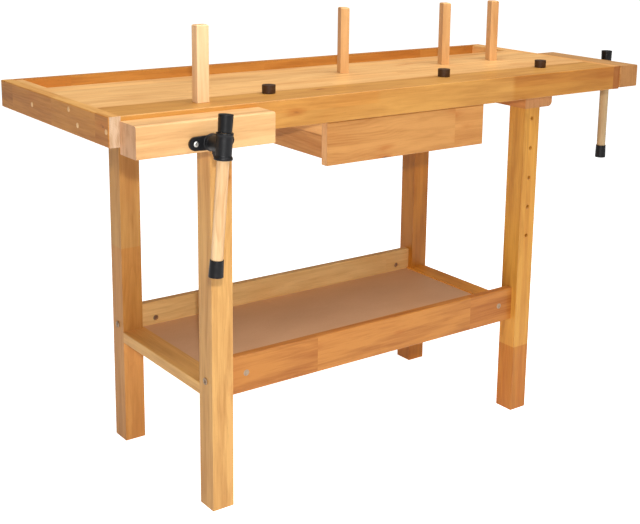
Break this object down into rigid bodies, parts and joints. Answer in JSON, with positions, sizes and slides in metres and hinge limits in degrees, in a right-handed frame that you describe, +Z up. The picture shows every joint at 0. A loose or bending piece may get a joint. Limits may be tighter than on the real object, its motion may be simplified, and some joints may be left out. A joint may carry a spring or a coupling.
{
  "type": "woodworking bench",
  "caption": "Wooden workbench with a front vise, a tail vise, bench dogs and square pegs in the top, a rear tool tray, a hanging drawer and a lower shelf.",
  "frame": {"origin": "on the floor under the middle of the whole bench, closed vises and their hubs included", "axes": "+X along the bench from the left end to the tail vise, +Y from the front to the back, +Z up"},
  "size_m": [1.5073, 0.6472, 1.0103],
  "materials": {
    "wood_top": "clear oiled light hardwood, visible strips and grain",
    "wood_frame": "clear oiled light hardwood, visible grain",
    "wood_drawer": "clear oiled light hardwood, visible grain",
    "thin_board": "smooth brown hardboard",
    "pale_wood": "pale bare wood, sanded",
    "dark_dog": "dark matt plastic",
    "black_casting": "black painted casting, satin",
    "black_plastic": "black satin plastic",
    "zinc_hardware": "bright zinc plated steel",
    "bright_steel": "bright turned steel"
  },
  "bodies": {
    "bench": {"front_beam": "wood_top", "back_beam": "wood_top", "top_panel": "wood_top", "end_batten_left": "wood_top", "end_batten_right": "wood_top", "end_cap_left": "wood_top", "end_cap_right": "wood_top", "rear_rail": "wood_top", "tray_end_left": "wood_top", "tray_end_right": "wood_top", "bearer_left": "wood_frame", "bearer_right": "wood_frame", "leg_front_left": "wood_frame", "leg_back_left": "wood_frame", "leg_front_right": "wood_frame", "leg_back_right": "wood_frame", "side_rail_left": "wood_frame", "side_rail_right": "wood_frame", "stretcher_front": "wood_frame", "stretcher_back": "wood_frame", "drawer_runner_left": "wood_drawer", "drawer_runner_right": "wood_drawer", "tray_bottom": "thin_board", "shelf_panel": "thin_board", "end_cap_plugs": "pale_wood", "front_nut": "black_casting", "tail_nut": "black_casting", "fixing_screws": "zinc_hardware", "frame_bolts": "zinc_hardware", "barrel_nuts": "zinc_hardware", "bearer_bolts": "zinc_hardware"},
    "drawer": {"drawer_front": "wood_drawer", "drawer_side_left": "wood_drawer", "drawer_side_right": "wood_drawer", "drawer_back": "wood_drawer", "drawer_bottom": "thin_board"},
    "front_jaw": {"front_jaw": "wood_top", "front_guide_rods": "bright_steel", "front_flange": "black_casting", "front_flange_screws": "zinc_hardware"},
    "front_screw": {"front_screw": "bright_steel", "front_hub": "black_casting"},
    "front_handle": {"front_handle_bar": "pale_wood", "front_handle_caps": "black_plastic"},
    "tail_jaw": {"tail_jaw": "wood_top", "tail_guide_rods": "bright_steel", "tail_flange": "black_casting", "tail_flange_screws": "zinc_hardware"},
    "tail_screw": {"tail_screw": "bright_steel", "tail_hub": "black_casting"},
    "tail_handle": {"tail_handle_bar": "pale_wood", "tail_handle_caps": "black_plastic"},
    "dog_1": {"dog_1": "dark_dog"},
    "dog_2": {"dog_2": "dark_dog"},
    "dog_3": {"dog_3": "dark_dog"},
    "peg_1": {"peg_1": "pale_wood"},
    "peg_2": {"peg_2": "pale_wood"},
    "peg_3": {"peg_3": "pale_wood"},
    "peg_4": {"peg_4": "pale_wood"}
  },
  "joints": [
    {"name": "drawer_slide", "type": "slide", "parent": "bench", "child": "drawer", "axis": [0, -1, 0], "range_m": [0, 0.28]},
    {"name": "front_screw_turn", "type": "hinge", "parent": "front_jaw", "child": "front_screw", "pos_m": [-0.58135, -0.30625, 0.808], "axis": [0, -1, 0], "range_deg": [0, 9090]},
    {"name": "front_jaw_slide", "type": "slide", "parent": "bench", "child": "front_jaw", "axis": [0, -1, 0], "range_m": [0, 0.12626]},
    {"name": "front_handle_slide", "type": "slide", "parent": "front_screw", "child": "front_handle", "axis": [0.0785, 0, 0.9969], "range_m": [0, 0.186]},
    {"name": "tail_screw_turn", "type": "hinge", "parent": "tail_jaw", "child": "tail_screw", "pos_m": [0.73625, -0.05525, 0.818], "axis": [1, 0, 0], "range_deg": [0, 9090]},
    {"name": "tail_jaw_slide", "type": "slide", "parent": "bench", "child": "tail_jaw", "axis": [1, 0, 0], "range_m": [0, 0.12626]},
    {"name": "tail_handle_slide", "type": "slide", "parent": "tail_screw", "child": "tail_handle", "axis": [0, 0, 1], "range_m": [0, 0.17]},
    {"name": "dog_1_lift", "type": "slide", "parent": "bench", "child": "dog_1", "axis": [0, 0, 1], "range_m": [0, 0.045]},
    {"name": "dog_2_lift", "type": "slide", "parent": "bench", "child": "dog_2", "axis": [0, 0, 1], "range_m": [0, 0.045]},
    {"name": "dog_3_lift", "type": "slide", "parent": "bench", "child": "dog_3", "axis": [0, 0, 1], "range_m": [0, 0.045]},
    {"name": "peg_1_lift", "type": "slide", "parent": "bench", "child": "peg_1", "axis": [0, 0, 1], "range_m": [0, 0.04]},
    {"name": "peg_2_lift", "type": "slide", "parent": "bench", "child": "peg_2", "axis": [0, 0, 1], "range_m": [0, 0.04]},
    {"name": "peg_3_lift", "type": "slide", "parent": "bench", "child": "peg_3", "axis": [0, 0, 1], "range_m": [0, 0.04]},
    {"name": "peg_4_lift", "type": "slide", "parent": "bench", "child": "peg_4", "axis": [0, 0, 1], "range_m": [0, 0.04]}
  ],
  "couplings": [
    {"joint": "front_jaw_slide", "follows": "front_screw_turn", "m_per_rad": 0.00079577},
    {"joint": "tail_jaw_slide", "follows": "tail_screw_turn", "m_per_rad": 0.00079577}
  ]
}
